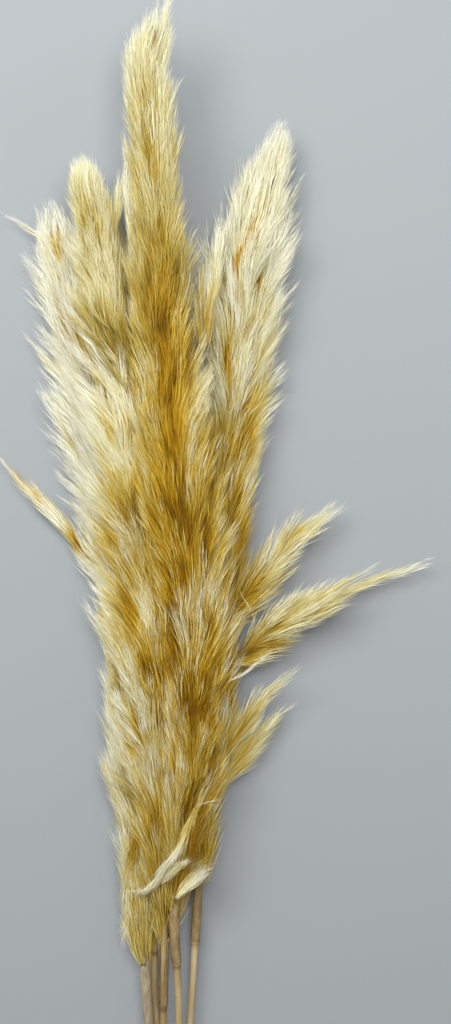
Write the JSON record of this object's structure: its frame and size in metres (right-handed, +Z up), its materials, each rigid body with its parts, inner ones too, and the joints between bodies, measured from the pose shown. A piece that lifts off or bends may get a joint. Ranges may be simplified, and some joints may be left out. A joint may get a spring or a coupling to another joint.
{
  "type": "dried pampas grass bunch",
  "caption": "Tied bunch of dried pampas grass lying on a surface: feathery golden cream plumes on straw stems, whipped together with twine.",
  "frame": {"origin": "middle of the footprint of the lying bunch, on the surface that it rests on", "axes": "+Y along the bunch, from the cut ends towards the tips of the plumes; +Z up from the surface"},
  "size_m": [0.2465, 0.8013, 0.0929],
  "materials": {
    "plume_cream": "silky plant hair, matte",
    "culm_straw": "dry straw, satin",
    "sheath_tan": "dry leaf, matte",
    "sheath_pale": "dry leaf, matte",
    "twine_brown": "jute twine, matte"
  },
  "bodies": {
    "root": {"plume_left": "plume_cream", "plume_back": "plume_cream", "plume_front": "plume_cream", "plume_centre": "plume_cream", "plume_right": "plume_cream", "stem_left": "culm_straw", "stem_back": "culm_straw", "stem_front": "culm_straw", "stem_centre": "culm_straw", "stem_right": "culm_straw", "sheath_left": "sheath_pale", "sheath_front": "sheath_tan", "sheath_centre": "sheath_tan", "sheath_right": "sheath_tan", "tie": "twine_brown"}
  },
  "joints": []
}
